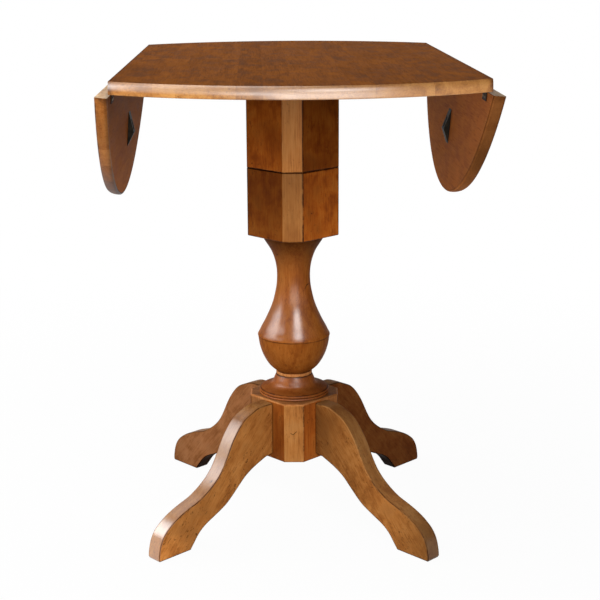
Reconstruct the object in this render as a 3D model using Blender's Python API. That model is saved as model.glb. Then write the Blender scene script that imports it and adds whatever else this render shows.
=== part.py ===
"""Drop-leaf pedestal table, counter height. Metres, +Z up, origin on the floor under the column axis."""
import bpy
import bmesh
from math import acos, asin, cos, pi, radians, sin, sqrt
from mathutils import Matrix, Vector

# Main sizes
TOP_RADIUS = 0.5334
TOP_HEIGHT = 0.9144
TOP_THICK = 0.0208
SLAB_HALF_W = 0.3075
EDGE_ROUND_IN = 0.0048
EDGE_ROUND_DOWN = 0.015
EDGE_EASE = 0.0015
LEAF_GAP = 0.001
TOP_OFFSET_X = 0.0023
ARC_STEPS = 28

# Leaf hinges
AXIS_DROP = 0.0035
AXIS_IN = 0.0015
LEFT_LIFT = 85.3
RIGHT_LIFT = 94.8
HINGE_SHARE = 0.815
HINGE_LENGTH = 0.036
HINGE_REACH = 0.018
HINGE_PLATE = 0.0014
BARREL_R = 0.0030
HINGE_PIN_R = 0.0015
KNUCKLE_CLEAR = 0.0004

# Leaf props and catches
PROP_PIVOT_IN = 0.030
PROP_PIVOT_DROP = 0.010
PROP_THICK = 0.0065
PROP_WIDTH = 0.011
PROP_PIN_R = 0.0018
EAR_THICK = 0.0025
BRACKET_LENGTH = 0.034
CATCH_NEAR = 0.0725
CATCH_APEX = 0.1115
CATCH_FAR = 0.1392
CATCH_RISE = 0.0115
CATCH_WIDTH = 0.030
CATCH_SLOT = 0.0120
CATCH_WALL = 0.1076
PROP_TIP_CLEAR = 0.0011

# Pedestal
PEDESTAL_TWIST = -2.2
BOARD_HALF = 0.105
BOARD_THICK = 0.019
BLOCK_C = 0.0888
BLOCK_N = 0.0198
RISER_WALL = 0.020
RISER_BASE_Z = 0.7094
BLOCK_BASE_Z = 0.5752
HUB_TOP_Z = 0.2486
HUB_BASE_Z = 0.1274
HUB_C = 0.0880
HUB_N = 0.0196
HUB_CAVITY = 0.045
HUB_CAVITY_TOP_Z = 0.2340
LEG_THICK = 0.0327
LEG_ROUND = 0.003
LEG_BASE_Z = 0.0010
TURN_STEPS = 40
TENON_R = 0.0240
TENON_LENGTH = 0.036
BASE_TENON_LENGTH = 0.013
ROD_R = 0.005
ROD_HEAD_R = 0.013
ROD_HEAD = 0.005
ROD_ABOVE_TENON = 0.030
HOLE_END = 0.001
SCREW_R = 0.0024
SCREW_HEAD_R = 0.0050
SCREW_HEAD = 0.0025
SCREW_INSET = 0.016
SCREW_IN_SLAB = 0.012
THROUGH = 0.060
BOLT_R = 0.0038
BOLT_HEAD_R = 0.0065
BOLT_HEAD = 0.005
BOLT_IN_LEG = 0.040
BOLT_HEIGHTS = (0.1630, 0.2145)
GLIDE_R = 0.010
GLIDE_HEAD = 0.0030
GLIDE_NAIL_R = 0.0020
GLIDE_NAIL = 0.0120
GLIDE_POS = 0.3342

# Clearances
GAP = 0.0003
RUN_CLEAR = 0.00015

UNDER_Z = TOP_HEIGHT - TOP_THICK
HINGE_Y = HINGE_SHARE * sqrt(TOP_RADIUS ** 2 - SLAB_HALF_W ** 2)
AXIS_X = SLAB_HALF_W - AXIS_IN
AXIS_Z = UNDER_Z - AXIS_DROP
TAU = 2 * pi


def clear_scene():
    for old in list(bpy.data.objects):
        bpy.data.objects.remove(old, do_unlink=True)


def material(name, colour, roughness, metallic=0.0):
    mat = bpy.data.materials.new(name)
    mat.use_nodes = True
    shader = mat.node_tree.nodes["Principled BSDF"]
    shader.inputs["Base Color"].default_value = (*colour, 1.0)
    shader.inputs["Roughness"].default_value = roughness
    shader.inputs["Metallic"].default_value = metallic
    return mat


def add_object(name, mesh_builder, mat, origin=(0, 0, 0)):
    """Wrap a bmesh whose coordinates are in the row frame, with the object origin at a chosen point."""
    bmesh.ops.recalc_face_normals(mesh_builder, faces=mesh_builder.faces)
    bmesh.ops.translate(mesh_builder, verts=mesh_builder.verts, vec=-Vector(origin))
    mesh = bpy.data.meshes.new(name)
    mesh_builder.to_mesh(mesh)
    mesh_builder.free()
    obj = bpy.data.objects.new(name, mesh)
    obj.location = origin
    bpy.context.scene.collection.objects.link(obj)
    mesh.materials.append(mat)
    return obj


def loft(rings):
    """Closed solid through rings of equal point count, capped at both ends."""
    bm = bmesh.new()
    rows = [[bm.verts.new(point) for point in ring] for ring in rings]
    count = len(rows[0])
    for low, high in zip(rows, rows[1:]):
        for i in range(count):
            j = (i + 1) % count
            bm.faces.new((low[i], low[j], high[j], high[i]))
    bm.faces.new(list(reversed(rows[0])))
    bm.faces.new(rows[-1])
    return bm


def prism(points, low, high, frame=Matrix.Identity(4)):
    """Extrude a flat outline from low to high along the frame's third axis."""
    bm = loft([[(x, y, low) for x, y in points], [(x, y, high) for x, y in points]])
    bm.transform(frame)
    return bm


def box(low, high):
    x0, y0, z0 = low
    x1, y1, z1 = high
    return prism([(x0, y0), (x1, y0), (x1, y1), (x0, y1)], z0, z1)


def turned(profile, steps, frame=Matrix.Identity(4)):
    """Solid of revolution from (radius, height) pairs, bottom to top."""
    rings = []
    for radius, height in profile:
        rings.append([(radius * cos(TAU * k / steps), radius * sin(TAU * k / steps), height)
                      for k in range(steps)])
    bm = loft(rings)
    bm.transform(frame)
    return bm


def along(start, direction):
    """Frame whose third axis runs along direction from start."""
    turn = Vector((0, 0, 1)).rotation_difference(Vector(direction).normalized())
    return Matrix.Translation(Vector(start)) @ turn.to_matrix().to_4x4()


def rod(start, direction, length, radius, steps=16):
    return turned([(radius, 0.0), (radius, length)], steps, along(start, direction))


def combine(target, tool_mesh, operation):
    """Apply one exact Boolean with a temporary tool body."""
    tool = add_object("tool", tool_mesh, target.data.materials[0])
    tool.hide_render = True
    tool.display_type = "WIRE"
    step = target.modifiers.new("cut", "BOOLEAN")
    step.operation = operation
    step.solver = "EXACT"
    step.object = tool
    bpy.context.view_layer.update()
    result = bpy.data.meshes.new_from_object(target.evaluated_get(bpy.context.evaluated_depsgraph_get()))
    target.modifiers.remove(step)
    old = target.data
    target.data = result
    result.name = target.name
    bpy.data.meshes.remove(old)
    bpy.data.objects.remove(tool, do_unlink=True)


def cut(target, tool_mesh):
    combine(target, tool_mesh, "DIFFERENCE")


def join(target, tool_mesh):
    combine(target, tool_mesh, "UNION")


def edge_levels():
    """Inset and height of the top's rim, from the underside up."""
    levels = [(EDGE_EASE, 0.0), (0.0, EDGE_EASE), (0.0, TOP_THICK - EDGE_ROUND_DOWN)]
    for step in (1, 2, 3, 4):
        angle = step * pi / 8
        levels.append((EDGE_ROUND_IN * (1 - cos(angle)),
                       TOP_THICK - EDGE_ROUND_DOWN * (1 - sin(angle))))
    return levels


def arc(radius, start, end, steps):
    return [(radius * cos(start + (end - start) * k / steps), radius * sin(start + (end - start) * k / steps))
            for k in range(steps + 1)]


def slab_solid():
    rings = []
    for inset, height in edge_levels():
        radius = TOP_RADIUS - inset
        half = asin(SLAB_HALF_W / radius)
        outline = arc(radius, pi / 2 - half, pi / 2 + half, ARC_STEPS)
        outline += arc(radius, 3 * pi / 2 - half, 3 * pi / 2 + half, ARC_STEPS)
        rings.append([(x, y, UNDER_Z + height) for x, y in outline])
    return loft(rings)


def leaf_solid(side):
    """Leaf in its raised place, level with the slab."""
    inner = SLAB_HALF_W + LEAF_GAP
    rings = []
    for inset, height in edge_levels():
        radius = TOP_RADIUS - inset
        half = acos(inner / radius)
        rings.append([(side * x, y, UNDER_Z + height) for x, y in arc(radius, -half, half, ARC_STEPS)])
    return loft(rings)


def hang(side):
    """Turn about the hinge axis from the raised place to the hanging place."""
    angle = RIGHT_LIFT if side > 0 else LEFT_LIFT
    centre = Vector((side * AXIS_X, 0, AXIS_Z))
    turn = Matrix.Rotation(radians(side * angle), 4, "Y")
    return Matrix.Translation(centre) @ turn @ Matrix.Translation(-centre)


def hinge_axis(side):
    return (side * AXIS_X, 0, AXIS_Z)


def plate_box(side, inner, outer, y0, y1, z0, z1):
    xs = sorted((side * inner, side * outer))
    return box((xs[0], y0, z0), (xs[1], y1, z1))


def hinge_set(side, y, tag, steel):
    """Slab plate with two knuckles, leaf plate with one between them, and the pin."""
    top = UNDER_Z - GAP
    low = top - HINGE_PLATE
    near = BARREL_R + 2 * KNUCKLE_CLEAR
    half = HINGE_LENGTH / 2
    third = HINGE_LENGTH / 6
    y_axis = (0, 1, 0)

    slab_plate = add_object("hinge_slab_plate_" + tag, plate_box(
        side, AXIS_X - HINGE_REACH, AXIS_X - near, y - half, y + half, low, top), steel)
    for y0, y1 in ((y - half, y - third), (y + third, y + half)):
        join(slab_plate, plate_box(side, AXIS_X - near - 0.002, AXIS_X - 0.0005, y0, y1, low, top))
        join(slab_plate, rod((side * AXIS_X, y0, AXIS_Z), y_axis, y1 - y0, BARREL_R, 20))
    cut(slab_plate, rod((side * AXIS_X, y - 2 * half, AXIS_Z), y_axis, 4 * half, HINGE_PIN_R + RUN_CLEAR, 20))

    inner0 = y - third + KNUCKLE_CLEAR
    inner1 = y + third - KNUCKLE_CLEAR
    leaf_plate = add_object("hinge_leaf_plate_" + tag, plate_box(
        side, AXIS_X + near, AXIS_X + HINGE_REACH, y - half, y + half, low, top), steel)
    join(leaf_plate, plate_box(side, AXIS_X + 0.0005, AXIS_X + near + 0.002, inner0, inner1, low, top))
    join(leaf_plate, rod((side * AXIS_X, inner0, AXIS_Z), y_axis, inner1 - inner0, BARREL_R, 20))
    cut(leaf_plate, rod((side * AXIS_X, y - half, AXIS_Z), y_axis, 2 * half, HINGE_PIN_R + RUN_CLEAR, 20))
    leaf_plate.data.transform(hang(side))
    move_origin(leaf_plate, hinge_axis(side))

    head = HINGE_PIN_R + 0.0012
    pin_profile = [(head, -0.0012), (head, -GAP), (HINGE_PIN_R, -GAP), (HINGE_PIN_R, HINGE_LENGTH + 0.001)]
    add_object("hinge_pin_" + tag, turned(pin_profile, 20, along((side * AXIS_X, y - half, AXIS_Z), y_axis)), steel)


def move_origin(obj, origin):
    """Move the object origin without moving its mesh in the row frame."""
    shift = Vector(origin) - obj.location
    obj.data.transform(Matrix.Translation(-shift))
    obj.location = origin


def catch_block(side, mat):
    """Kite-shaped block on the leaf's inner face: two cheeks with a slot for the prop's tip."""
    face = UNDER_Z - GAP
    outline = [(CATCH_NEAR, 0.0), (CATCH_FAR, 0.0), (CATCH_APEX, CATCH_RISE)]
    points = [(side * (AXIS_X + u), face - v) for u, v in outline]
    side_view = Matrix(((1, 0, 0, 0), (0, 0, -1, 0), (0, 1, 0, 0), (0, 0, 0, 1)))
    block = add_object("leaf_catch_" + side_name(side),
                       prism(points, -CATCH_WIDTH / 2, CATCH_WIDTH / 2, side_view), mat)
    cut(block, plate_box(side, AXIS_X + CATCH_NEAR - 0.02, AXIS_X + CATCH_WALL, -CATCH_SLOT / 2, CATCH_SLOT / 2,
                         face - 0.05, face - 0.004))
    block.data.transform(hang(side))
    move_origin(block, hinge_axis(side))


def side_name(side):
    return "right" if side > 0 else "left"


def prop_set(side, black, steel):
    """Prop arm folded flat under the slab, its bracket and pivot pin."""
    name = side_name(side)
    pivot_x = side * (AXIS_X - PROP_PIVOT_IN)
    pivot_z = UNDER_Z - PROP_PIVOT_DROP
    length = PROP_PIVOT_IN + CATCH_WALL - PROP_TIP_CLEAR
    half_t = PROP_THICK / 2
    half_w = PROP_WIDTH / 2

    # The bar lies inboard of its pivot; its eye end is rounded
    outline = [(half_t * 1.3 * sin(pi * k / 8), half_t * cos(pi * k / 8)) for k in range(9)]
    outline += [(-length, -half_t), (-length, half_t)]
    points = [(pivot_x + side * x, pivot_z + z) for x, z in outline]
    side_view = Matrix(((1, 0, 0, 0), (0, 0, -1, 0), (0, 1, 0, 0), (0, 0, 0, 1)))
    arm = add_object("prop_arm_" + name, prism(points, -half_w, half_w, side_view), black)
    cut(arm, rod((pivot_x, -0.05, pivot_z), (0, 1, 0), 0.1, PROP_PIN_R + RUN_CLEAR, 20))
    move_origin(arm, (pivot_x, 0, pivot_z))

    # Bent bracket: a web against the slab and two ears
    inner = half_w + 2 * KNUCKLE_CLEAR
    outer = inner + EAR_THICK
    web_top = UNDER_Z - GAP
    web_low = web_top - EAR_THICK
    ear_low = pivot_z - PROP_PIN_R - 0.004
    flange = outer + 0.012
    profile = [(-flange, web_top), (flange, web_top), (flange, web_low), (outer, web_low), (outer, ear_low),
               (inner, ear_low), (inner, web_low), (-inner, web_low), (-inner, ear_low), (-outer, ear_low),
               (-outer, web_low), (-flange, web_low)]
    end_view = Matrix(((0, 0, 1, pivot_x), (1, 0, 0, 0), (0, 1, 0, 0), (0, 0, 0, 1)))
    bracket = add_object("prop_bracket_" + name,
                         prism(profile, -BRACKET_LENGTH / 2, BRACKET_LENGTH / 2, end_view), steel)
    cut(bracket, rod((pivot_x, -0.05, pivot_z), (0, 1, 0), 0.1, PROP_PIN_R + RUN_CLEAR, 20))

    head = PROP_PIN_R + 0.0015
    pin_profile = [(head, -outer - 0.0018), (head, -outer - GAP), (PROP_PIN_R, -outer - GAP),
                   (PROP_PIN_R, outer + 0.0015)]
    add_object("prop_pin_" + name, turned(pin_profile, 20, along((pivot_x, 0, pivot_z), (0, 1, 0))), steel)


def twist():
    return Matrix.Rotation(radians(PEDESTAL_TWIST), 4, "Z")


def cut_square(c, n):
    """Outline of a square block standing on its corner, with its corners cut off."""
    return [(n, -c), (c, -n), (c, n), (n, c), (-n, c), (-c, n), (-c, -n), (-n, -c)]


def eased_block(c, n, low, high, ease):
    scale = (c - ease) / c
    rings = []
    for factor, z in ((scale, low), (1.0, low + ease), (1.0, high - ease), (scale, high)):
        rings.append([(x * factor, y * factor, z) for x, y in cut_square(c, n)])
    return loft(rings)


def riser(wood):
    """Hollow box of four side boards with four narrow corner staves between them."""
    high = UNDER_Z - GAP - BOARD_THICK - GAP
    low = RISER_BASE_Z
    inner_c = BLOCK_C - RISER_WALL
    inner_n = (BLOCK_C + BLOCK_N) - RISER_WALL * sqrt(2) - inner_c
    outer = cut_square(BLOCK_C, BLOCK_N)
    inner = cut_square(inner_c, inner_n)
    for k in range(8):
        m = (k + 1) % 8
        corners = [Vector(outer[k]), Vector(outer[m]), Vector(inner[m]), Vector(inner[k])]
        run = (corners[1] - corners[0]).normalized() * GAP / 2
        points = [corners[0] + run, corners[1] - run, corners[2] - run, corners[3] + run]
        kind = "riser_board_" if k % 2 == 0 else "riser_stave_"
        piece = prism([(p.x, p.y) for p in points], low, high)
        piece.transform(twist())
        add_object(kind + str(k // 2 + 1), piece, wood)


BALUSTER = [
    (0.0690, 0.2491), (0.0700, 0.2500), (0.0700, 0.2525), (0.0678, 0.2534), (0.0697, 0.2548), (0.0697, 0.2575),
    (0.0685, 0.2594), (0.0640, 0.2612), (0.0560, 0.2632), (0.0500, 0.2650), (0.0455, 0.2672), (0.0425, 0.2715),
    (0.0406, 0.2777), (0.0385, 0.2825), (0.0357, 0.2881),
    (0.0359, 0.2921), (0.0342, 0.2950), (0.0362, 0.2965), (0.0417, 0.3005), (0.0501, 0.3089), (0.0570, 0.3193),
    (0.0627, 0.3308), (0.0666, 0.3417), (0.0694, 0.3531), (0.0714, 0.3650), (0.0722, 0.3695), (0.0716, 0.3722),
    (0.0684, 0.3780), (0.0650, 0.3853), (0.0580, 0.3982),
    (0.0521, 0.4106), (0.0464, 0.4235), (0.0417, 0.4364), (0.0385, 0.4483), (0.0357, 0.4612), (0.0338, 0.4731),
    (0.0329, 0.4860), (0.0329, 0.4978), (0.0340, 0.5096), (0.0363, 0.5213), (0.0395, 0.5320), (0.0444, 0.5437),
    (0.0516, 0.5555), (0.0585, 0.5662), (0.0607, 0.5721), (0.0607, 0.5749),
]


def pedestal(wood, steel):
    # Column block with a socket for the baluster and a hole for the tie rod
    block_high = RISER_BASE_Z - GAP
    block_mesh = eased_block(BLOCK_C, BLOCK_N, BLOCK_BASE_Z, block_high, 0.001)
    block_mesh.transform(twist())
    block = add_object("column_block", block_mesh, wood)
    cut(block, rod((0, 0, BLOCK_BASE_Z - THROUGH), (0, 0, 1), THROUGH + TENON_LENGTH + HOLE_END, TENON_R + GAP, 24))
    rod_low = BLOCK_BASE_Z + TENON_LENGTH + ROD_ABOVE_TENON
    cut(block, rod((0, 0, rod_low - HOLE_END), (0, 0, 1), block_high - rod_low + THROUGH, ROD_R + GAP, 16))

    # Turned baluster with a tenon at each end
    profile = [(TENON_R, HUB_TOP_Z - BASE_TENON_LENGTH), (TENON_R, BALUSTER[0][1])] + BALUSTER
    profile += [(TENON_R, BALUSTER[-1][1]), (TENON_R, BLOCK_BASE_Z + TENON_LENGTH)]
    add_object("baluster", turned(profile, TURN_STEPS), wood)

    # Hub, open below so that the leg bolts can be reached
    hub_mesh = eased_block(HUB_C, HUB_N, HUB_BASE_Z, HUB_TOP_Z, 0.001)
    hub_mesh.transform(twist())
    hub = add_object("hub", hub_mesh, wood)
    half = HUB_CAVITY * sqrt(2)
    cavity = prism([(half, 0), (0, half), (-half, 0), (0, -half)], HUB_BASE_Z - THROUGH, HUB_CAVITY_TOP_Z)
    cavity.transform(twist())
    cut(hub, cavity)
    cut(hub, rod((0, 0, HUB_CAVITY_TOP_Z - HOLE_END), (0, 0, 1), THROUGH, TENON_R + GAP, 24))

    # Tie rod from the mounting board down into the column block
    top = UNDER_Z - GAP - HOLE_END
    head_low = top - ROD_HEAD
    rod_profile = [(ROD_R, rod_low), (ROD_R, head_low), (ROD_HEAD_R, head_low), (ROD_HEAD_R, top)]
    add_object("tie_rod", turned(rod_profile, 16), steel)
    return hub


def mounting_board(slab, wood, steel):
    high = UNDER_Z - GAP
    low = high - BOARD_THICK
    board = add_object("mounting_board", box((-BOARD_HALF, -BOARD_HALF, low), (BOARD_HALF, BOARD_HALF, high)), wood)
    cut(board, rod((0, 0, low - THROUGH), (0, 0, 1), 3 * THROUGH, ROD_R + GAP, 16))
    cut(board, rod((0, 0, high - ROD_HEAD - HOLE_END - GAP), (0, 0, 1), THROUGH, ROD_HEAD_R + GAP, 16))
    spot = BOARD_HALF - SCREW_INSET
    names = ("1", "2", "3", "4")
    for name, (sx, sy) in zip(names, ((1, 1), (-1, 1), (-1, -1), (1, -1))):
        x, y = sx * spot, sy * spot
        tip = UNDER_Z + SCREW_IN_SLAB
        cut(board, rod((x, y, low - THROUGH), (0, 0, 1), 3 * THROUGH, SCREW_R + GAP, 12))
        cut(slab, rod((x, y, UNDER_Z - THROUGH), (0, 0, 1), THROUGH + SCREW_IN_SLAB + HOLE_END, SCREW_R + GAP, 12))
        profile = [(0.84 * SCREW_HEAD_R, low - GAP - SCREW_HEAD), (SCREW_HEAD_R, low - GAP - SCREW_HEAD / 2),
                   (SCREW_HEAD_R, low - GAP), (SCREW_R, low - GAP), (SCREW_R, tip)]
        add_object("board_screw_" + name, turned(profile, 12, Matrix.Translation((x, y, 0))), steel)


LEG_TOP = [
    (0.0000, 0.2442), (0.0992, 0.2442), (0.1141, 0.2432), (0.1309, 0.2372), (0.1491, 0.2288), (0.1622, 0.2182),
    (0.1739, 0.2045), (0.1842, 0.1897), (0.1931, 0.1739), (0.2027, 0.1560), (0.2129, 0.1400), (0.2238, 0.1274),
    (0.2367, 0.1161), (0.2529, 0.1051), (0.2717, 0.0952), (0.2926, 0.0883), (0.3134, 0.0808), (0.3312, 0.0724),
    (0.3461, 0.0627), (0.3570, 0.0532), (0.3650, 0.0416), (0.3699, 0.0289), (0.3729, 0.0151),
]
LEG_LOW = [
    (0.2960, 0.0000), (0.2916, 0.0067), (0.2846, 0.0152), (0.2777, 0.0241), (0.2678, 0.0335), (0.2539, 0.0424),
    (0.2331, 0.0519), (0.2083, 0.0638), (0.1944, 0.0732), (0.1815, 0.0841), (0.1676, 0.0965), (0.1498, 0.1114),
    (0.1260, 0.1243), (0.0952, 0.1362), (0.0000, 0.1406),
]
LEG_TOE_R = 0.3739


def legs(hub, wood, steel, nylon):
    face = (HUB_C + HUB_N) / sqrt(2) + GAP
    side_view = Matrix(((1, 0, 0, 0), (0, 0, -1, 0), (0, 1, 0, 0), (0, 0, 0, 1)))
    for number, quarter in enumerate((45, 135, 225, 315), 1):
        turn = Matrix.Rotation(radians(quarter + PEDESTAL_TWIST), 4, "Z")
        top = [(max(r, face), z) for r, z in LEG_TOP]
        low = [(max(r, face), max(z, LEG_BASE_Z)) for r, z in LEG_LOW]
        outline = top + [(LEG_TOE_R, LEG_BASE_Z)] + low
        mesh = prism(outline, -LEG_THICK / 2, LEG_THICK / 2, side_view)
        mesh.transform(turn)
        leg = add_object("leg_" + str(number), mesh, wood)
        ease_long_edges(leg, turn)
        radial = turn @ Vector((1, 0, 0))
        for level, height in zip(("low", "high"), BOLT_HEIGHTS):
            seat = turn @ Vector((HUB_CAVITY - GAP, 0, height))
            reach = face - HUB_CAVITY + BOLT_IN_LEG
            for piece in (hub, leg):
                cut(piece, rod(seat, radial, reach + 3 * HOLE_END, BOLT_R + GAP, 12))
            profile = [(BOLT_HEAD_R, -BOLT_HEAD), (BOLT_HEAD_R, 0.0), (BOLT_R, 0.0), (BOLT_R, reach)]
            add_object("leg_bolt_%d_%s" % (number, level), turned(profile, 12, along(seat, radial)), steel)
        spot = turn @ Vector((GLIDE_POS, 0, 0))
        under = (spot.x, spot.y, LEG_BASE_Z - THROUGH)
        sink = GLIDE_HEAD - LEG_BASE_Z + GAP
        cut(leg, rod(under, (0, 0, 1), THROUGH + sink, GLIDE_R + GAP, 16))
        cut(leg, rod(under, (0, 0, 1), THROUGH + sink + GLIDE_NAIL, GLIDE_NAIL_R + GAP, 12))
        profile = [(0.94 * GLIDE_R, 0.0), (GLIDE_R, 0.25 * GLIDE_HEAD), (GLIDE_R, GLIDE_HEAD),
                   (GLIDE_NAIL_R, GLIDE_HEAD), (GLIDE_NAIL_R, GLIDE_HEAD + GLIDE_NAIL - HOLE_END)]
        add_object("glide_" + str(number), turned(profile, 16, Matrix.Translation((spot.x, spot.y, 0))), nylon)


def ease_long_edges(leg, turn):
    """Round the leg's two long outlines, away from the hub face and the sole."""
    side_dir = turn @ Vector((0, 1, 0)) - turn @ Vector((0, 0, 0))
    bm = bmesh.new()
    bm.from_mesh(leg.data)
    edges = []
    for edge in bm.edges:
        across = (edge.verts[0].co - edge.verts[1].co).dot(side_dir)
        level = min(v.co.z for v in edge.verts)
        radius = min(Vector((v.co.x, v.co.y)).length for v in edge.verts)
        if abs(across) < 1e-5 and level > LEG_BASE_Z + 0.0005 and radius > 0.0779 + LEG_THICK / 60:
            edges.append(edge)
    bmesh.ops.bevel(bm, geom=edges, offset=LEG_ROUND, segments=1, affect="EDGES", clamp_overlap=True)
    bm.to_mesh(leg.data)
    bm.free()


def shift_top():
    """The top sits a little off the column's axis, with all that hangs on it."""
    for obj in bpy.context.scene.objects:
        if obj.name.startswith(("leaf_", "hinge_", "prop_")):
            obj.location.x += TOP_OFFSET_X


def centre_on_floor():
    """Put the middle of the whole table's outline over the origin."""
    bpy.context.view_layer.update()
    places = [(obj.matrix_world @ Vector(corner)).x for obj in bpy.context.scene.objects for corner in obj.bound_box]
    middle = (min(places) + max(places)) / 2
    for obj in bpy.context.scene.objects:
        obj.location.x -= middle


clear_scene()
top_wood = material("top_wood", (0.22, 0.095, 0.035), 0.35)
base_wood = material("base_wood", (0.25, 0.10, 0.035), 0.33)
hinge_steel = material("hinge_steel", (0.35, 0.33, 0.30), 0.40, 1.0)
black_steel = material("black_steel", (0.02, 0.018, 0.018), 0.45, 0.6)
black_plastic = material("black_plastic", (0.03, 0.02, 0.02), 0.5)
bolt_steel = material("bolt_steel", (0.45, 0.45, 0.46), 0.35, 1.0)
glide_nylon = material("glide_nylon", (0.55, 0.53, 0.48), 0.6)

slab_body = add_object("top_center", slab_solid(), top_wood)
slab_body.location.x = TOP_OFFSET_X
for side_sign in (-1, 1):
    leaf_mesh = leaf_solid(side_sign)
    leaf_mesh.transform(hang(side_sign))
    add_object("leaf_" + side_name(side_sign), leaf_mesh, top_wood, hinge_axis(side_sign))
    for y_place, place in ((-HINGE_Y, "front"), (HINGE_Y, "back")):
        hinge_set(side_sign, y_place, side_name(side_sign) + "_" + place, hinge_steel)
    catch_block(side_sign, black_plastic)
    prop_set(side_sign, black_steel, hinge_steel)
shift_top()
mounting_board(slab_body, base_wood, bolt_steel)
riser(base_wood)
hub_body = pedestal(base_wood, bolt_steel)
legs(hub_body, base_wood, bolt_steel, glide_nylon)
centre_on_floor()
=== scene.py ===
"""Looks of a counter-height drop-leaf pedestal table in distressed brown wood. Metres, +Z up."""

from math import acos, asin, cos, pi, radians, sin, sqrt

import bmesh
import bpy
from mathutils import Matrix, Vector


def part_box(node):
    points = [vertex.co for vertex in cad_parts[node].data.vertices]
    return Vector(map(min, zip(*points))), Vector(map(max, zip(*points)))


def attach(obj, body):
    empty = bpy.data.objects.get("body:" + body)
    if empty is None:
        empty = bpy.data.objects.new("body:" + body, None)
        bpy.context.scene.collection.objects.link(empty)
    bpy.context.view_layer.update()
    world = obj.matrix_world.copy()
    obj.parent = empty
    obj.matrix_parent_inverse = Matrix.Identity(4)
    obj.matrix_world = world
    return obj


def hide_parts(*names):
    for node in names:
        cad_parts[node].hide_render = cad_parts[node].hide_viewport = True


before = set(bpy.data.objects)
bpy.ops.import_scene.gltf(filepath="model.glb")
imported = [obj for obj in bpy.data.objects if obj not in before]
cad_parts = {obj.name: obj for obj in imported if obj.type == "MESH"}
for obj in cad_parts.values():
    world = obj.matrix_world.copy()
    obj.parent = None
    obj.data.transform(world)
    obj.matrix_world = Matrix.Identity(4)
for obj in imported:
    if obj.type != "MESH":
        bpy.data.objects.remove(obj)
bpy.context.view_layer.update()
scene = bpy.context.scene

# Sizes of the table, as in the solids
TOP_RADIUS = 0.5334
TOP_HEIGHT = 0.9144
TOP_THICK = 0.0208
SLAB_HALF_W = 0.3075
EDGE_ROUND_DOWN = 0.015
EDGE_EASE = 0.0015
LEAF_GAP = 0.001
AXIS_DROP = 0.0035
AXIS_IN = 0.0015
LEFT_LIFT = 85.3
RIGHT_LIFT = 94.8
HINGE_SHARE = 0.815
HINGE_REACH = 0.018
HINGE_PLATE = 0.0014
PEDESTAL_TWIST = -2.2
BLOCK_C = 0.0888
BLOCK_N = 0.0198
RISER_WALL = 0.020
RISER_BASE_Z = 0.7094
BLOCK_BASE_Z = 0.5752
HUB_TOP_Z = 0.2486
HUB_BASE_Z = 0.1274
HUB_C = 0.0880
HUB_N = 0.0196
HUB_CAVITY = 0.045
HUB_CAVITY_TOP_Z = 0.2340
LEG_THICK = 0.0327
LEG_BASE_Z = 0.0010
LEG_TOE_R = 0.3739
BOARD_THICK = 0.019
GAP = 0.0003

UNDER_Z = TOP_HEIGHT - TOP_THICK
AXIS_X = SLAB_HALF_W - AXIS_IN
AXIS_Z = UNDER_Z - AXIS_DROP
HINGE_Y = HINGE_SHARE * sqrt(TOP_RADIUS ** 2 - SLAB_HALF_W ** 2)


def middle_x(node):
    low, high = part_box(node)
    return (low.x + high.x) / 2


TOP_X = middle_x("top_center")
COLUMN_X = middle_x("baluster")


# Node materials
def linear(channel):
    channel = channel / 255
    return channel / 12.92 if channel <= 0.04045 else ((channel + 0.055) / 1.055) ** 2.4


def rgb(colour):
    """Screen colour, 0 to 255, as the linear colour that nodes take."""
    return (*[linear(c) for c in colour], 1.0)


def darker(colour, share):
    return tuple(share * c for c in colour)


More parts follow.
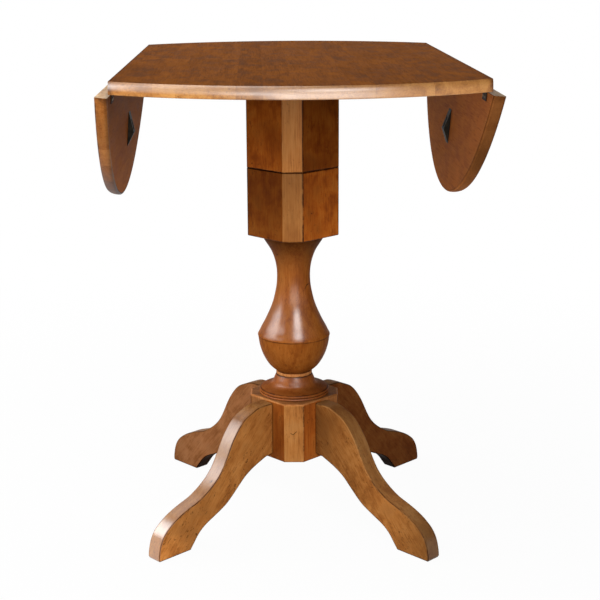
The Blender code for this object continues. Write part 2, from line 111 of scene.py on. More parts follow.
class Shade:
    """Short calls for building one material's nodes."""

    def __init__(self, name):
        self.material = bpy.data.materials.new(name)
        self.material.use_nodes = True
        self.tree = self.material.node_tree
        self.shader = self.tree.nodes["Principled BSDF"]

    def add(self, kind, inputs=(), **settings):
        node = self.tree.nodes.new("ShaderNode" + kind)
        for key, value in settings.items():
            setattr(node, key, value)
        for key, value in dict(inputs).items():
            self.feed(node.inputs[key], value)
        return node

    def feed(self, socket, value):
        if isinstance(value, bpy.types.NodeSocket):
            self.tree.links.new(value, socket)
        else:
            socket.default_value = value

    def attribute(self, name, output="Fac"):
        return self.add("Attribute", attribute_name=name).outputs[output]

    def math(self, operation, a, b=0.0, c=0.0):
        return self.add("Math", {0: a, 1: b, 2: c}, operation=operation).outputs[0]

    def vector(self, operation, a, b, output="Vector"):
        return self.add("VectorMath", {0: a, 1: b}, operation=operation).outputs[output]

    def scaled(self, vector, factor):
        return self.add("VectorMath", {0: vector, "Scale": factor}, operation="SCALE").outputs[0]

    def spread(self, vector, repeats, stretch=1.0):
        scale = (repeats[0], repeats[1], repeats[2] * stretch)
        return self.add("Mapping", {"Vector": vector, "Scale": scale}).outputs[0]

    def noise(self, vector, kind, stretch=1.0):
        """kind is the repeats a metre along each axis, detail, roughness and distortion."""
        repeats, detail, roughness, distortion = kind
        inputs = {"Vector": self.spread(vector, repeats, stretch), "Scale": 1.0, "Detail": detail,
                  "Roughness": roughness, "Distortion": distortion}
        return self.add("TexNoise", inputs).outputs["Fac"]

    def between(self, value, span, to=(0.0, 1.0)):
        inputs = {"Value": value, "From Min": span[0], "From Max": span[1], "To Min": to[0], "To Max": to[1]}
        return self.add("MapRange", inputs, interpolation_type="SMOOTHSTEP").outputs[0]

    def mix(self, factor, a, b):
        node = self.add("Mix", data_type="RGBA")
        self.feed(node.inputs[0], factor)
        self.feed(node.inputs[6], a)
        self.feed(node.inputs[7], b)
        return node.outputs[2]

    def ramp(self, value, stops):
        node = self.add("ValToRGB", {0: value})
        elements = node.color_ramp.elements
        while len(elements) < len(stops):
            elements.new(0.5)
        for element, (place, colour) in zip(elements, stops):
            element.position = place
            element.color = rgb(colour)
        return node.outputs[0]

    def bump(self, height, strength, distance):
        node = self.add("Bump", {"Height": height, "Strength": strength, "Distance": distance})
        self.tree.links.new(node.outputs[0], self.shader.inputs["Normal"])

    def finish(self, **constants):
        for key, value in constants.items():
            self.shader.inputs[key.replace("_", " ")].default_value = value
        return self.material


# Kinds of noise in wood
STREAK = ((64, 64, 7), 4.0, 0.6, 0.4)
FINE = ((330, 330, 18), 3.0, 0.6, 0.0)
CLOUD = ((30, 30, 14), 4.0, 0.6, 0.35)
BLOTCH = ((8.5, 8.5, 5.0), 2.0, 0.5, 0.0)
PORE = ((700, 700, 24), 1.0, 0.5, 0.0)
TICK = ((250, 250, 120), 2.0, 0.6, 0.6)
CLUSTER = ((26, 26, 18), 3.0, 0.6, 0.0)
WEAR = ((34, 34, 34), 3.0, 0.7, 0.0)
NICK_REPEATS = (58, 58, 26)

# Spans of noise that turn into colour
FIGURE_SPAN = (0.34, 0.66)
STAIN_SPAN = (0.50, 0.68)
PORE_SPAN = (0.60, 0.72)
NICK_SPAN = (0.10, 0.05)
NICK_SOFT = 0.04
TICK_SPAN = (0.60, 0.67)
CLUSTER_SPAN = (0.42, 0.60)
CLUSTER_LOW = 0.05
WEAR_SPAN = (0.36, 0.60)
WEAR_LOW = 0.5
GLAZE_SPAN = (0.15, 0.90)
CLOUD_SPAN = (0.3, 0.7)

FINE_SHARE = 0.28
FIGURE_SHARE = 0.72
BLOTCH_SHARE = 0.6
STAIN_DARK = 0.86
PORE_DARK = 0.62
PORE_SHARE = 0.35
FINE_HEIGHT = 0.35
CLOUD_HEIGHT = 0.5
PORE_DEPTH = 0.25
GRAIN_DEPTH = 0.0006
STAVE_SWAY = 41.0
STAVE_UNEVEN = 0.30
STAVE_SHIFT = (3.0, 3.0, 9.0)
DENT_CORE = 0.4
NICK_COLOUR = (38, 20, 10)
SCAR_COLOUR = (52, 26, 11)
DENT_COLOUR = (44, 22, 10)
GLAZE_COLOUR = (62, 30, 12)
DEEP_GLAZE = (38, 18, 8)


def staves(s, grain, width):
    """Glued staves: a random value and a moved grain for each."""
    across = s.add("SeparateXYZ", {0: grain}).outputs["X"]
    sway = s.math("SINE", s.math("MULTIPLY", across, STAVE_SWAY))
    cell = s.math("MULTIPLY_ADD", sway, STAVE_UNEVEN, s.math("DIVIDE", across, width))
    pick = s.add("TexWhiteNoise", {"W": s.math("FLOOR", cell)}, noise_dimensions="1D")
    shift = s.vector("MULTIPLY", pick.outputs["Color"], STAVE_SHIFT)
    return pick.outputs["Value"], s.vector("ADD", grain, shift)


def nicks_in(s, grain, stretch, rarity):
    """Round specks in a few random cells."""
    spread = s.spread(grain, NICK_REPEATS, stretch)
    spots = s.add("TexVoronoi", {"Vector": spread, "Scale": 1.0, "Randomness": 1.0})
    chosen = s.add("SeparateColor", {0: spots.outputs["Color"]}).outputs[0]
    near = s.between(spots.outputs["Distance"], NICK_SPAN)
    return s.math("MULTIPLY", near, s.between(chosen, (rarity, rarity + NICK_SOFT)))


def dent_in(s, place, start, end, width):
    """One straight dent between two points of the grain's space."""
    run = Vector(end) - Vector(start)
    offset = s.vector("SUBTRACT", place, start)
    share = s.vector("DOT_PRODUCT", offset, run / run.length_squared, "Value")
    nearest = s.scaled(run, s.add("Clamp", {0: share}).outputs[0])
    away = s.vector("DISTANCE", offset, nearest, "Value")
    return s.between(away, (width, DENT_CORE * width))


def wood(name, dark, mid, light, rough=(0.30, 0.44), level=0.3, stave=0.0, stave_tint=0.25, mottle=0.5,
         edge_line=0.6, edge_colour=GLAZE_COLOUR, specks=0.8, nicks=0.86, scars=0.0, streaky=0.34,
         stretch=1.0, bump=0.25, coat_rough=0.0, coat_ior=1.5, marks=()):
    """Stained wood with streaks along the grain, blotches, pores, nicks and dark glaze on its edges."""
    s = Shade(name)
    place = s.attribute("grain", "Vector")
    grain = place
    if stave:
        pick, grain = staves(s, place, stave)

    # Figure
    streak = s.noise(grain, STREAK, stretch)
    fine = s.noise(grain, FINE, stretch)
    cloud = s.noise(grain, CLOUD, stretch)
    blotch = s.noise(grain, BLOTCH, stretch)
    patches = s.math("MULTIPLY_ADD", fine, FINE_SHARE, s.math("MULTIPLY", cloud, FIGURE_SHARE - streaky))
    figure = s.math("MULTIPLY_ADD", streak, streaky, patches)
    if stave:
        figure = s.math("ADD", figure, s.math("MULTIPLY_ADD", pick, stave_tint, -0.5 * stave_tint))
    colour = s.ramp(s.between(figure, FIGURE_SPAN), [(0.0, dark), (0.5, mid), (1.0, light)])
    uneven = s.math("MULTIPLY_ADD", blotch, BLOTCH_SHARE, s.math("MULTIPLY", cloud, 1 - BLOTCH_SHARE))
    colour = s.mix(s.between(uneven, STAIN_SPAN, (0.0, mottle)), colour, rgb(darker(dark, STAIN_DARK)))

    # Pores, nicks and scars
    pore = s.between(s.noise(grain, PORE, stretch), PORE_SPAN)
    colour = s.mix(s.math("MULTIPLY", pore, PORE_SHARE), colour, rgb(darker(dark, PORE_DARK)))
    nick = nicks_in(s, grain, stretch, nicks)
    colour = s.mix(s.math("MULTIPLY", nick, specks), colour, rgb(NICK_COLOUR))
    if scars:
        tick = s.between(s.noise(grain, TICK), TICK_SPAN)
        cluster = s.between(s.noise(grain, CLUSTER), CLUSTER_SPAN, (CLUSTER_LOW, scars))
        nick = s.math("MAXIMUM", nick, s.math("MULTIPLY", tick, cluster))
        colour = s.mix(nick, colour, rgb(SCAR_COLOUR))
    for start, end, width in marks:
        dent = dent_in(s, place, start, end, width)
        colour = s.mix(dent, colour, rgb(DENT_COLOUR))
        nick = s.math("MAXIMUM", nick, dent)

    # Glaze left along the edges
    wear = s.between(s.noise(grain, WEAR), WEAR_SPAN, (WEAR_LOW, 1.0))
    ragged = s.math("MULTIPLY", s.attribute("edge"), wear)
    colour = s.mix(s.between(ragged, GLAZE_SPAN, (0.0, edge_line)), colour, rgb(edge_colour))
    # The shade attribute scales the colour: random tones on some pieces, painted light and shade on others.
    s.feed(s.shader.inputs["Base Color"], s.scaled(colour, s.attribute("shade")))

    # Surface
    s.feed(s.shader.inputs["Roughness"], s.between(cloud, CLOUD_SPAN, rough))
    height = s.math("MULTIPLY_ADD", fine, FINE_HEIGHT, s.math("MULTIPLY", cloud, CLOUD_HEIGHT))
    height = s.math("SUBTRACT", height, s.math("MULTIPLY_ADD", pore, PORE_DEPTH, nick))
    s.bump(height, bump, GRAIN_DEPTH)
    if coat_rough:
        s.feed(s.shader.inputs["Coat Weight"], s.attribute("gloss"))
        s.finish(Coat_Roughness=coat_rough, Coat_IOR=coat_ior)
    return s.finish(Specular_IOR_Level=level)


SCRATCH_SHARE = 0.35
TONE_SPAN = (0.35, 0.65)
SCRATCH_BUMP = 0.15
SCRATCH_DEPTH = 0.0003


def metal(name, dark, light, rough, metallic=1.0, scale=90.0, level=0.5):
    """Metal, plastic or plain board with a faint uneven tone, in the piece's own coordinates."""
    s = Shade(name)
    place = s.add("TexCoord").outputs["Object"]
    cloud = s.noise(place, ((scale, scale, scale), 4.0, 0.65, 0.0))
    scratch = s.noise(place, ((14 * scale, 2 * scale, 14 * scale), 2.0, 0.5, 0.0))
    tone = s.math("MULTIPLY_ADD", scratch, SCRATCH_SHARE, s.math("MULTIPLY", cloud, 1 - SCRATCH_SHARE))
    colour = s.ramp(s.between(tone, TONE_SPAN), [(0.0, dark), (1.0, light)])
    s.feed(s.shader.inputs["Base Color"], colour)
    s.feed(s.shader.inputs["Roughness"], s.between(cloud, CLOUD_SPAN, rough))
    s.bump(tone, SCRATCH_BUMP, SCRATCH_DEPTH)
    return s.finish(Metallic=metallic, Specular_IOR_Level=level)


# Grain: each piece's wood is moved by steps of its own, so that no two look alike
UPRIGHT_STEP = (0.37, 0.61, 0.23)
BOARD_STEP = (0.37, 0.21, 0.53)
LEG_STEP = (0.41, 0.73, 0.19)
BALUSTER_SEED = 4
HUB_SEED = 5
COLUMN_SEED = 2
RISER_SEED = 7
RISER_SEED_STEP = 3


def moved_grain(step, seed):
    return Matrix.Translation([seed * c for c in step])


def upright_grain(seed):
    return moved_grain(UPRIGHT_STEP, seed)


def line_marks(points, width, seed):
    """A bent line as marks for the wood, moved to the grain of the piece with that seed."""
    moved = [upright_grain(seed) @ Vector(p) for p in points]
    return [(tuple(a), tuple(b), width) for a, b in zip(moved, moved[1:])]


DENT = line_marks([(0.0213, -0.0262, 0.4678), (0.0245, -0.0233, 0.4747), (0.0295, -0.0165, 0.4773)],
                  width=0.0012, seed=BALUSTER_SEED)
CRACK = line_marks([(-0.0067, -0.0880, 0.1891), (-0.0020, -0.0880, 0.1857), (0.0051, -0.0880, 0.1925)],
                   width=0.0008, seed=HUB_SEED)

# Woods of the top
BOARD_STAVE = 0.062
TOP_FACE = wood("top_face_wood", (72, 39, 13), (90, 50, 18), (104, 60, 23), rough=(0.28, 0.38),
                level=0.0001, stave=BOARD_STAVE, stave_tint=0.05, mottle=0.30, edge_line=0.8, streaky=0.2)
RIM = wood("rim_wood", (116, 74, 34), (140, 93, 46), (158, 112, 60), rough=(0.40, 0.48), level=0.01,
           stave=BOARD_STAVE, stave_tint=0.14, mottle=0.2, edge_line=0.85, scars=0.4, coat_rough=0.35,
           coat_ior=2.6)
LEAF_RIM = wood("leaf_rim_wood", (124, 68, 24), (162, 96, 38), (184, 118, 56), rough=(0.36, 0.46),
                level=0.06, stave=0.050, stave_tint=0.18, mottle=0.35, edge_line=0.8)
LEAF_TOP_EDGE = wood("leaf_edge_wood", (186, 144, 98), (210, 174, 128), (226, 196, 154), rough=(0.4, 0.5),
                     level=0.1, mottle=0.15, edge_line=0.5)
UNDERSIDE = wood("underside_wood", (134, 79, 38), (148, 90, 45), (158, 98, 51), rough=(0.45, 0.55),
                 level=0.0015, stave=BOARD_STAVE, stave_tint=0.05, mottle=0.16, edge_line=0.5, streaky=0.2)

# Woods of the pedestal
FACES = dict(rough=(0.36, 0.46), level=0.02)
STRIPS = dict(rough=(0.36, 0.46), level=0.05, mottle=0.3, edge_line=0.8)
TURNINGS = dict(rough=(0.40, 0.48), level=0.01, mottle=0.3, edge_line=0.8, scars=0.35, bump=0.03)
WIDE = wood("wide_face_wood", (114, 54, 14), (141, 73, 20), (157, 89, 30), mottle=0.65, edge_line=0.95,
            edge_colour=DEEP_GLAZE, scars=0.4, streaky=0.12, stretch=2.0, **FACES)
HUB_WIDE = wood("hub_face_wood", (118, 58, 18), (144, 76, 26), (160, 92, 36), mottle=0.5, edge_line=0.8,
                scars=0.5, streaky=0.2, **FACES)
# Painted light: a lighter, tan copy of the hub's wood for the hub's top, the strips above the legs and the
# turning's collar.
HUB_TOP_LIT = wood("hub_top_lit_wood", (126, 76, 38), (150, 96, 52), (166, 114, 68), mottle=0.4, edge_line=0.8,
               scars=0.4, **FACES)
NARROW = wood("narrow_face_wood", (146, 88, 40), (174, 112, 54), (190, 130, 70), scars=0.3, streaky=0.24,
              stretch=0.8, **STRIPS)
HUB_NARROW = wood("hub_front_wood", (146, 88, 40), (174, 112, 54), (190, 130, 70), scars=0.4,
                  streaky=0.18, stretch=1.4, marks=CRACK, **STRIPS)
TURNED = wood("turned_wood", (126, 63, 20), (152, 85, 30), (166, 99, 40), coat_rough=0.26, coat_ior=1.78,
              marks=DENT, **TURNINGS)
TURNED_FOOT = wood("turned_foot_wood", (128, 64, 22), (154, 84, 33), (168, 98, 44), coat_rough=0.34,
                   coat_ior=1.7, **TURNINGS)

# Woods of the legs, with copies that paint light and shade on some of them
LEG_SIDES = dict(rough=(0.34, 0.44), level=0.01, edge_line=0.8, streaky=0.14, stretch=1.8)
CALM_SIDES = dict(mottle=0.3, specks=0.5, scars=0.3, **LEG_SIDES)
LEG_TOPS = dict(rough=(0.40, 0.48), level=0.01, mottle=0.3, edge_line=0.8, scars=0.5, streaky=0.2,
                coat_rough=0.28)
LEG_SIDE = wood("leg_side_wood", (138, 82, 36), (166, 106, 51), (182, 122, 64), mottle=0.6, nicks=0.8,
                scars=0.65, **LEG_SIDES)
# Painted shade: a darker, more saturated copy of the leg wood for the back right leg.
LEG_SIDE_SHADED = wood("leg_side_deep_wood", (134, 69, 28), (158, 90, 41), (172, 106, 52), **CALM_SIDES)
LEG_TOP_FACE = wood("leg_top_wood", (124, 76, 36), (148, 98, 50), (164, 116, 66), coat_ior=1.95, **LEG_TOPS)
LEG_TOP_SHINY = wood("leg_top_shiny_wood", (113, 69, 33), (135, 89, 46), (150, 106, 60), coat_ior=2.3,
                     **LEG_TOPS)
# Painted sheen: a greyer copy of the leg wood for the back left leg.
LEG_SIDE_SHEEN = wood("leg_side_grey_wood", (132, 80, 43), (159, 103, 62), (174, 118, 76), **CALM_SIDES)
# Painted shade: near-black wood on the undersides of the legs.
LEG_UNDER_SHADE = wood("leg_under_wood", (34, 18, 8), (50, 28, 13), (66, 39, 19), rough=(0.45, 0.55), level=0.004)

# Board, metals and plastics
DULL = (0.50, 0.62)
PLAIN_BOARD = metal("plain_board", (128, 90, 58), (178, 134, 92), DULL, metallic=0.0, scale=30.0, level=0.15)
STEEL = metal("hinge_steel_worn", (34, 25, 17), (66, 49, 33), DULL, metallic=0.1, level=0.02)
# Painted shade: a darker copy of the hinge steel for the left hinges, which sit in the left leaf's shadow.
SHADED_HINGE_STEEL = metal("hinge_steel_shaded", (44, 28, 19), (66, 42, 28), DULL, metallic=0.0, level=0.01)
BLACK_STEEL = metal("black_steel_worn", (16, 15, 15), (38, 36, 36), (0.40, 0.55), metallic=0.5)
BLACK_PLASTIC = metal("black_plastic_worn", (30, 28, 22), (54, 48, 38), DULL, metallic=0.0, level=0.05)
SCREW = metal("screw_steel", (70, 60, 46), (140, 124, 100), (0.35, 0.48), metallic=0.4)
ZINC = metal("zinc_bolt", (130, 130, 132), (196, 197, 200), (0.26, 0.40))
NYLON = metal("glide_nylon_worn", (176, 170, 156), (214, 209, 196), (0.5, 0.65), metallic=0.0, scale=60.0)


# Meshes
def add_object(name, data):
    obj = bpy.data.objects.new(name, data)
    scene.collection.objects.link(obj)
    return obj


def store(mesh, name, values):
    mesh.attributes.new(name, "FLOAT", "POINT").data.foreach_set("value", values)


class Body:
    """A mesh in the making: points with edge, shade and gloss values, and faces with a material each."""

    def __init__(self):
        self.points = []
        self.edge = []
        self.shade = []
        self.gloss = []
        self.faces = []
        self.zones = []

    def ring(self, points, edge=0.0, own=None, shade=1.0, gloss=1.0):
        """Add points; own holds an edge value for each, and shade and gloss are one value or a list."""
        start = len(self.points)
        self.gloss += gloss if isinstance(gloss, list) else [gloss] * len(points)
        self.shade += shade if isinstance(shade, list) else [shade] * len(points)
        self.points += [Vector(p) for p in points]
        self.edge += [max(edge, own[i] if own else 0.0) for i in range(len(points))]
        return list(range(start, len(self.points)))

    def bridge(self, low, high, zone=0):
        """Faces between two closed rings; zone is one material index or one for each segment."""
        count = len(low)
        for i in range(count):
            j = (i + 1) % count
            self.faces.append((low[i], low[j], high[j], high[i]))
            self.zones.append(zone if isinstance(zone, int) else zone[i])

    def cap(self, ring, zone=0):
        """Rungs across an even ring, from its first and last point to the far end."""
        last = len(ring) - 1
        for i in range(len(ring) // 2 - 1):
            self.faces.append((ring[i], ring[i + 1], ring[last - i - 1], ring[last - i]))
            self.zones.append(zone)

    # tone scales every shade value: a random tone for the riser boards, painted light for the leaves.
    def build(self, name, materials, body, slot, nodes, grain, place=Matrix.Identity(4), crease=38.0,
              tone=1.0):
        mesh = bpy.data.meshes.new(name)
        mesh.from_pydata([place @ p for p in self.points], [], self.faces)
        for material in materials:
            mesh.materials.append(material)
        mesh.polygons.foreach_set("material_index", self.zones)
        store(mesh, "gloss", self.gloss)
        store(mesh, "edge", self.edge)
        store(mesh, "shade", [tone * v for v in self.shade])
        lines = mesh.attributes.new("grain", "FLOAT_VECTOR", "POINT")
        lines.data.foreach_set("vector", [c for p in self.points for c in grain @ p])
        work = bmesh.new()
        work.from_mesh(mesh)
        bmesh.ops.recalc_face_normals(work, faces=work.faces)
        work.to_mesh(mesh)
        work.free()
        mesh.shade_smooth()
        mesh.set_sharp_from_angle(angle=radians(crease))
        obj = add_object(name, mesh)
        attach(obj, body)
        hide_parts(*nodes)


def arc(radius, start, end, steps):
    angles = [start + (end - start) * k / steps for k in range(steps + 1)]
    return [(radius * cos(a), radius * sin(a)) for a in angles]


def turns(count):
    return [2 * pi * k / count for k in range(count)]


def inset(outline, distance):
    """The outline moved inwards; it runs counter-clockwise."""
    count = len(outline)
    moved = []
    for i in range(count):
        before = Vector(outline[i]) - Vector(outline[i - 1])
        after = Vector(outline[(i + 1) % count]) - Vector(outline[i])
        n0 = Vector((-before.y, before.x)).normalized()
        n1 = Vector((-after.y, after.x)).normalized()
        middle = n0 + n1
        middle = middle / max(middle.length_squared / 2, 0.2)
        moved.append(tuple(Vector(outline[i]) + middle * distance))
    return moved


def smooth(points, per_span=4):
    """Catmull-Rom curve through the points."""
    result = []
    last = len(points) - 1
    for i in range(last):
        p0, p1, p2, p3 = (Vector(points[max(0, min(last, k))]) for k in (i - 1, i, i + 1, i + 2))
        for step in range(per_span):
            t = step / per_span
            result.append(tuple(0.5 * (2 * p1 + (p2 - p0) * t + (2 * p0 - 5 * p1 + 4 * p2 - p3) * t * t
                                       + (3 * p1 - p0 - 3 * p2 + p3) * t ** 3)))
    result.append(tuple(points[-1]))
    return result


# Rounded corners and eased rims: edge values, rows and loss of gloss
CORNER_SIDE = 0.3
EASE_END = 0.3
EASE_SIDE = 0.15
EASE_ROWS = 4
GLAZE_DULLS = 0.95


def rounded(corners, radius, steps, line, weights):
    """Outline with rounded corners: points, edge values and the side that each segment belongs to.
    line is the glaze's width beside a corner, and weights are each corner's strength."""
    points, edges, sides = [], [], []
    count = len(corners)
    for i in range(count):
        weight = weights[i % len(weights)]
        here = Vector(corners[i])
        back = (Vector(corners[i - 1]) - here).normalized()
        on = (Vector(corners[(i + 1) % count]) - here).normalized()
        for offset, value in ((radius + 2 * line, 0.0), (radius + line, CORNER_SIDE)):
            points.append(tuple(here + back * offset))
            edges.append(value * weight)
            sides.append((i - 1) % count)
        start, end = here + back * radius, here + on * radius
        for k in range(steps + 1):
            t = k / steps
            curve = start * (1 - t) ** 2 + here * (2 * t * (1 - t)) + end * t ** 2
            points.append(tuple(curve))
            edges.append(weight)
            sides.append(i if 2 * k >= steps else (i - 1) % count)
        for offset, value in ((radius + line, CORNER_SIDE), (radius + 2 * line, 0.0)):
            points.append(tuple(here + on * offset))
            edges.append(value * weight)
            sides.append(i)
    return points, edges, sides


def prism_rows(low, high, ease, line, own):
    """Rows of (inset, height, edge value, own edge values), from below."""
    rows = [(ease + 2 * line, low, 0.0, None), (ease + line, low, EASE_SIDE, None)]
    for k in range(EASE_ROWS + 1):
        angle = pi / 2 * k / EASE_ROWS
        value = EASE_END + (1 - EASE_END) * sin(2 * angle)
        rows.append((ease * (1 - sin(angle)), low + ease * (1 - cos(angle)), value, own))
    rows.append((0.0, low + ease + line, EASE_SIDE, own))
    rows.append((0.0, low + ease + 2 * line, 0.0, own))
    return rows + [(inner, low + high - z, value, mine) for inner, z, value, mine in reversed(rows)]


def prism(outline, low, high, ease, line, zones, own=None, cap_zone=0, shades=1.0, glosses=None,
          hollow=None, band=0.0):
    """Upright body with eased rims; zones is one material index or one for each segment. line is the
    glaze's width beside a rim, hollow the half width and ceiling of a square hollow from below, its
    corners on the axes, and band the depth of a row under the top."""
    body = Body()
    rows = prism_rows(low, high, ease, line, own)
    if band:
        rows.insert(len(rows) // 2, (0.0, high - band, 0.0, own))
    rings = []
    for inner, z, value, mine in rows:
        flat = inset(outline, inner) if inner else outline
        gloss = [(1 - GLAZE_DULLS * value) * g for g in glosses] if glosses else 1.0
        rings.append(body.ring([(x, y, z) for x, y in flat], value, mine, shades, gloss))
    last = len(rings) - 2
    for k, (a, b) in enumerate(zip(rings, rings[1:])):
        on_cap = k < 2 or k > last - 2
        body.bridge(a, b, cap_zone if on_cap else zones)
    first = rings[0]
    if hollow:
        half, ceiling = hollow
        flat = [Vector(p) * half * sqrt(2) / (abs(p[0]) + abs(p[1])) for p in outline]
        for z in (low, ceiling):
            ring = body.ring([(x, y, z) for x, y in flat])
            body.bridge(ring, first, cap_zone)
            first = ring
    body.cap(first, cap_zone)
    body.cap(rings[-1], cap_zone)
    return body


def along(table, place):
    """Value at a place, on straight lines between (place, value) pairs."""
    for (a, x), (b, y) in zip(table, table[1:]):
        if a <= place <= b:
            return x + (y - x) * (place - a) / (b - a)
    return table[0][1] if place < table[0][0] else table[-1][1]


def turn_to(angle):
    return Matrix.Translation((COLUMN_X, 0, 0)) @ Matrix.Rotation(radians(angle), 4, "Z")


# The top: centre panel and leaves
ARC_STEPS = 96
EASE_STEPS = 4
LEAF_EASE = 0.0035
RIM_FLAT = 0.0015
RIM_STEPS = 10
RIM_GLAZED_STEPS = 3
NOSE_IN = 0.0072
NOSE_END = radians(70)
UNDER_ROWS = [(0.006, 0.0), (0.002, 0.3)]
FACE_NEAR = 0.0015
FACE_FAR = 0.004
BESIDE_END = 0.55


def rim_levels(ease, ease_glaze, round_glaze):
    """Rows of (inset, height, edge value) from the underside to the top face."""
    levels = []
    for step in range(EASE_STEPS + 1):
        angle = step * pi / 2 / EASE_STEPS
        levels.append((ease * (1 - sin(angle)), ease * (1 - cos(angle)), ease_glaze))
    levels.append((0.0, ease + RIM_FLAT, 0.0))
    levels.append((0.0, TOP_THICK - EDGE_ROUND_DOWN, 0.0))
    for step in range(1, RIM_STEPS + 1):
        angle = step * NOSE_END / RIM_STEPS
        inner = NOSE_IN * (1 - cos(angle))
        height = TOP_THICK - EDGE_ROUND_DOWN * (1 - sin(angle) / sin(NOSE_END))
        levels.append((inner, height, round_glaze if step > RIM_STEPS - RIM_GLAZED_STEPS else 0.0))
    return levels


def slab_outline(radius):
    half = asin(SLAB_HALF_W / radius)
    front = arc(radius, 3 * pi / 2 - half, 3 * pi / 2 + half, ARC_STEPS)
    return front + arc(radius, pi / 2 - half, pi / 2 + half, ARC_STEPS)


def leaf_outline(radius):
    half = acos((SLAB_HALF_W + LEAF_GAP) / radius)
    return arc(radius, -half, half, ARC_STEPS + 1)


def top_body(outline, ends, levels, rim_shade, rim_gloss, face_shade, under_shade):
    """Flat board with the nosing on its arcs; ends are the points where arcs meet a straight side.
    Zones are the upper face, the arcs, the underside and the straight sides."""
    body = Body()
    count = len(outline(TOP_RADIUS))
    own = [0.0] * count
    for i in ends:
        own[i - 1] = own[(i + 1) % count] = BESIDE_END
    for i in ends:
        own[i] = 1.0
    zones = [3 if i in ends and (i + 1) % count in ends else 1 for i in range(count)]
    low, high = levels[0], levels[-1]
    rings = []
    for back, share in UNDER_ROWS:
        flat = inset(outline(TOP_RADIUS - low[0]), back)
        shades = [under_shade(x, y) for x, y in flat]
        rings.append(body.ring([(x, y, UNDER_Z) for x, y in flat], share * low[2], None, shades))
    for inner, height, value in levels:
        flat = outline(TOP_RADIUS - inner)
        shades = [rim_shade(x, height) for x, y in flat]
        glosses = [rim_gloss(x, height) for x, y in flat]
        rings.append(body.ring([(x, y, UNDER_Z + height) for x, y in flat], value, own, shades, glosses))
    for back, mine in ((FACE_NEAR, own), (FACE_FAR, None)):
        flat = inset(outline(TOP_RADIUS - high[0]), back)
        shades = [face_shade(y) for x, y in flat]
        rings.append(body.ring([(x, y, TOP_HEIGHT) for x, y in flat], 0.0, mine, shades))
    for k, (a, b) in enumerate(zip(rings, rings[1:])):
        body.bridge(a, b, 2 if k < 2 else 0 if k > len(rings) - 4 else zones)
    body.cap(rings[0], 2)
    body.cap(rings[-1], 0)
    return body


def board_grain(seed):
    """Grain along the hinge line."""
    return moved_grain(BOARD_STEP, seed) @ Matrix(((1, 0, 0), (0, 0, 1), (0, 1, 0))).to_4x4()


def hang(side):
    """The turn about the hinge line from level to the photo's pose."""
    angle = RIGHT_LIFT if side > 0 else LEFT_LIFT
    centre = Vector((TOP_X + side * AXIS_X, 0, AXIS_Z))
    turn = Matrix.Rotation(radians(side * angle), 4, "Y")
    return Matrix.Translation(centre) @ turn @ Matrix.Translation(-centre)


# Painted light and shade, and gloss, of the centre panel: by x, and by height above the underside
# Painted light: the far half of the top face lighter.
FAR_FACE_PAINTED_LIGHT = 1.36
# Painted light and shade on the rim: lighter at both ends and towards the underside, darker in the middle and
# at the top.
SLAB_RIM_PAINTED_LIGHT = [(-0.31, 1.36), (-0.16, 1.15), (-0.06, 0.95), (0.08, 0.95), (0.16, 1.15), (0.31, 1.35)]
RIM_HEIGHT_PAINTED_LIGHT = [(0.0, 1.25), (0.010, 1.05), (0.0165, 0.80), (0.0208, 0.70)]
SLAB_RIM_GLOSS = [(-0.31, 0.88), (-0.20, 0.95), (-0.12, 1.0), (-0.06, 0.92), (0.0, 0.63), (0.10, 0.56),
                  (0.2, 0.35), (0.31, 0.14)]
RIM_TOP_DULL = [(-0.31, 0.66), (-0.08, 0.66), (-0.03, 0.6), (0.10, 0.55), (0.20, 0.35)]
RIM_TOP_Z = [(0.0140, 0.0), (0.0175, 1.0)]
RIM_LOW_DULL = [(-0.16, 0.92), (-0.07, 0.75), (-0.02, 0.0)]
RIM_LOW_Z = [(0.0055, 1.0), (0.0105, 0.0)]
SLAB_GLAZE = (0.25, 0.3)
SLAB_SEED = 1


def slab_rim(x, height):
    return along(SLAB_RIM_PAINTED_LIGHT, x) * along(RIM_HEIGHT_PAINTED_LIGHT, height)


def slab_gloss(x, height):
    upper = 1 - along(RIM_TOP_DULL, x) * along(RIM_TOP_Z, height)
    lower = 1 - along(RIM_LOW_DULL, x) * along(RIM_LOW_Z, height)
    return along(SLAB_RIM_GLOSS, x) * upper * lower


def slab():
    ends = {0, ARC_STEPS, ARC_STEPS + 1, 2 * ARC_STEPS + 1}
    body = top_body(slab_outline, ends, rim_levels(EDGE_EASE, *SLAB_GLAZE), slab_rim, slab_gloss,
                    lambda y: FAR_FACE_PAINTED_LIGHT if y > 0 else 1.0, lambda x, y: 1.0)
    body.build("top_panel", [TOP_FACE, RIM, UNDERSIDE, LEAF_RIM], "table", "top_wood", ["top_center"],
               board_grain(SLAB_SEED), Matrix.Translation((TOP_X, 0, 0)))


# Painted light and shade on the leaves, left (-1) and right (1), by the share of the way out and by height
# Painted light: the right leaf lighter, and the left a little darker, everywhere but on their top faces.
LEAF_PAINTED_LIGHT = {-1: 0.95, 1: 1.35}
# Painted shade: the right leaf's rim much darker, and in the underside's wood.
LEAF_RIM_PAINTED_SHADE = {-1: 1.02, 1: 0.44}
LEAF_RIM_WOOD = {-1: LEAF_RIM, 1: UNDERSIDE}
# Painted shade on the undersides: darker near the hinge under the top and lighter further out; the right one
# also lighter at the front and darker at the back.
UNDER_PAINTED_LIGHT = {-1: [(0.0, 0.52), (0.6, 1.14), (1.0, 1.55)], 1: [(0.0, 0.90), (0.5, 1.02), (1.0, 1.30)]}
FRONT_PAINTED_LIGHT = {-1: [(0.0, 0.0), (1.0, 0.0)], 1: [(0.0, 0.55), (0.5, 0.12), (1.0, 0.0)]}
